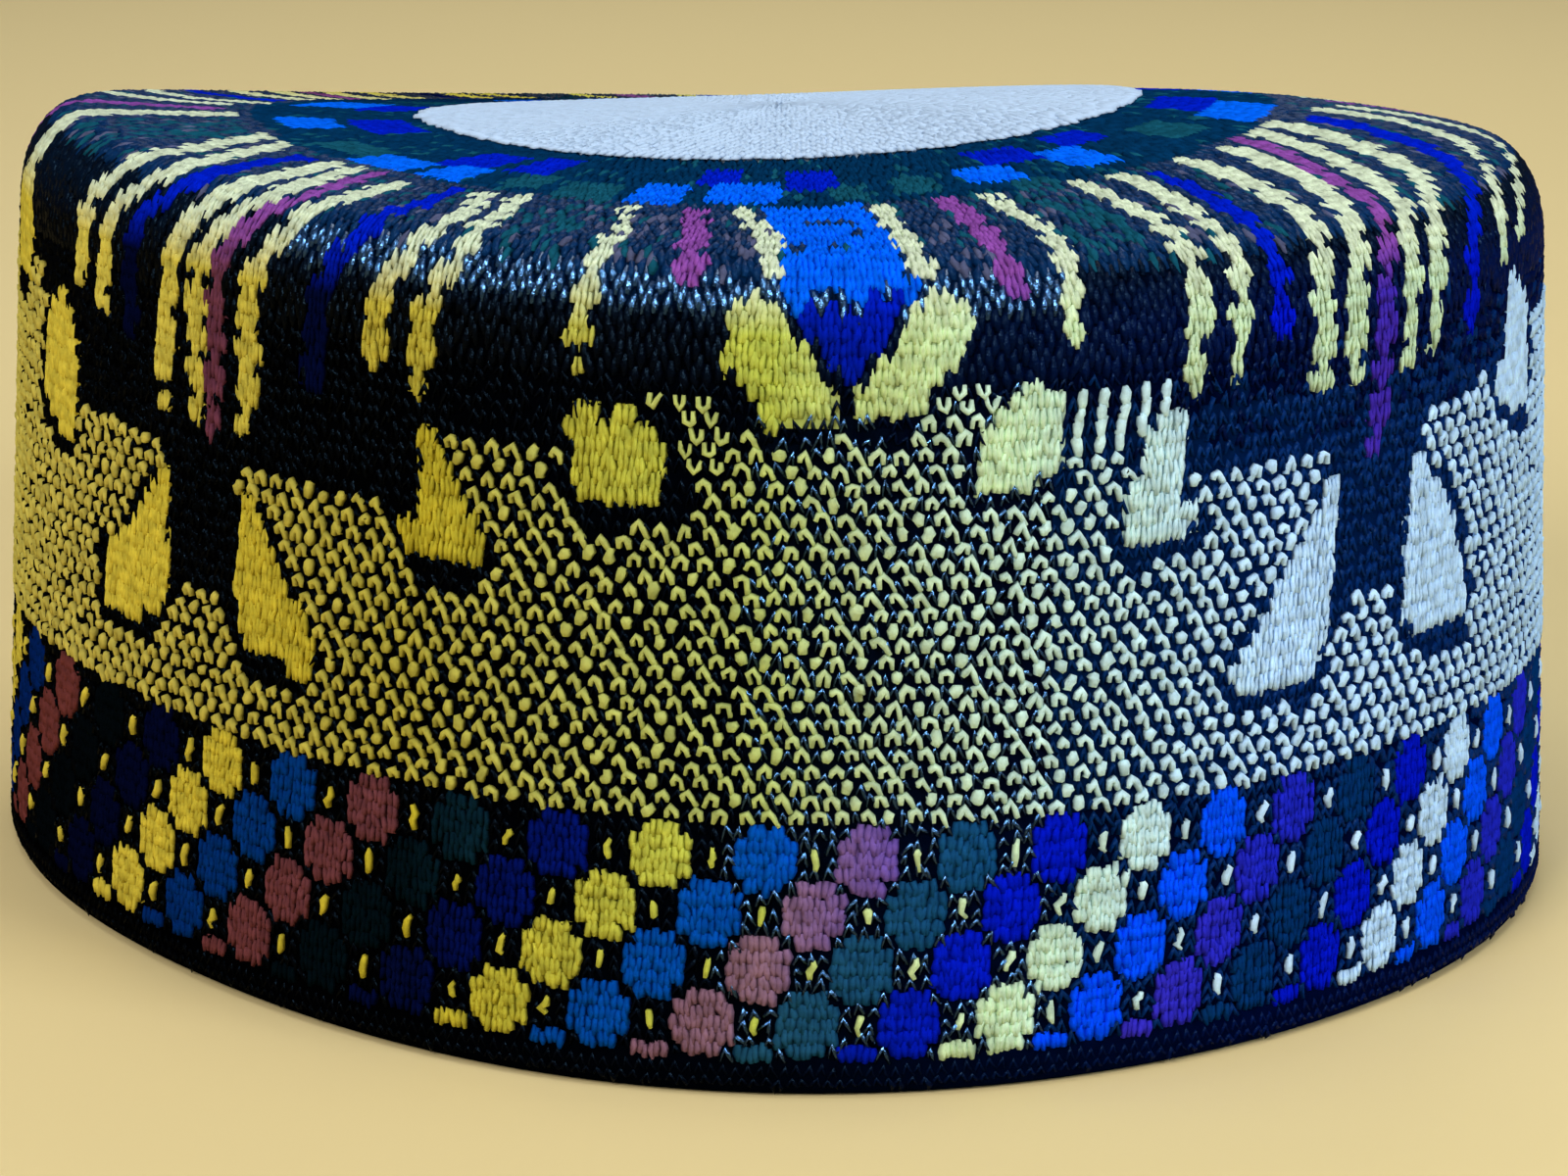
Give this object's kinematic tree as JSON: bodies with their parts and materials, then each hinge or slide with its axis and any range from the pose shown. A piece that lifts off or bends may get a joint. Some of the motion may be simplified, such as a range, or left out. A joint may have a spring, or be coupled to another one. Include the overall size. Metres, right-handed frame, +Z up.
{
  "type": "cap",
  "caption": "Round, straight-sided knitted cap with a slightly domed crown, a pale round centre and a plain hem, open underneath.",
  "frame": {"origin": "on the surface under the middle of the cap's outline", "axes": "+Z up out of the crown; -Y towards the front, which has the pattern in view"},
  "size_m": [0.1884, 0.1882, 0.0908],
  "materials": {
    "patterned_knit": "matt, slightly glossy yarn",
    "centre_knit": "matt",
    "hem_cloth": "smooth, slightly glossy"
  },
  "bodies": {
    "root": {"knitted_shell": "patterned_knit", "crown_centre": "centre_knit", "hem_band": "hem_cloth"}
  },
  "joints": []
}
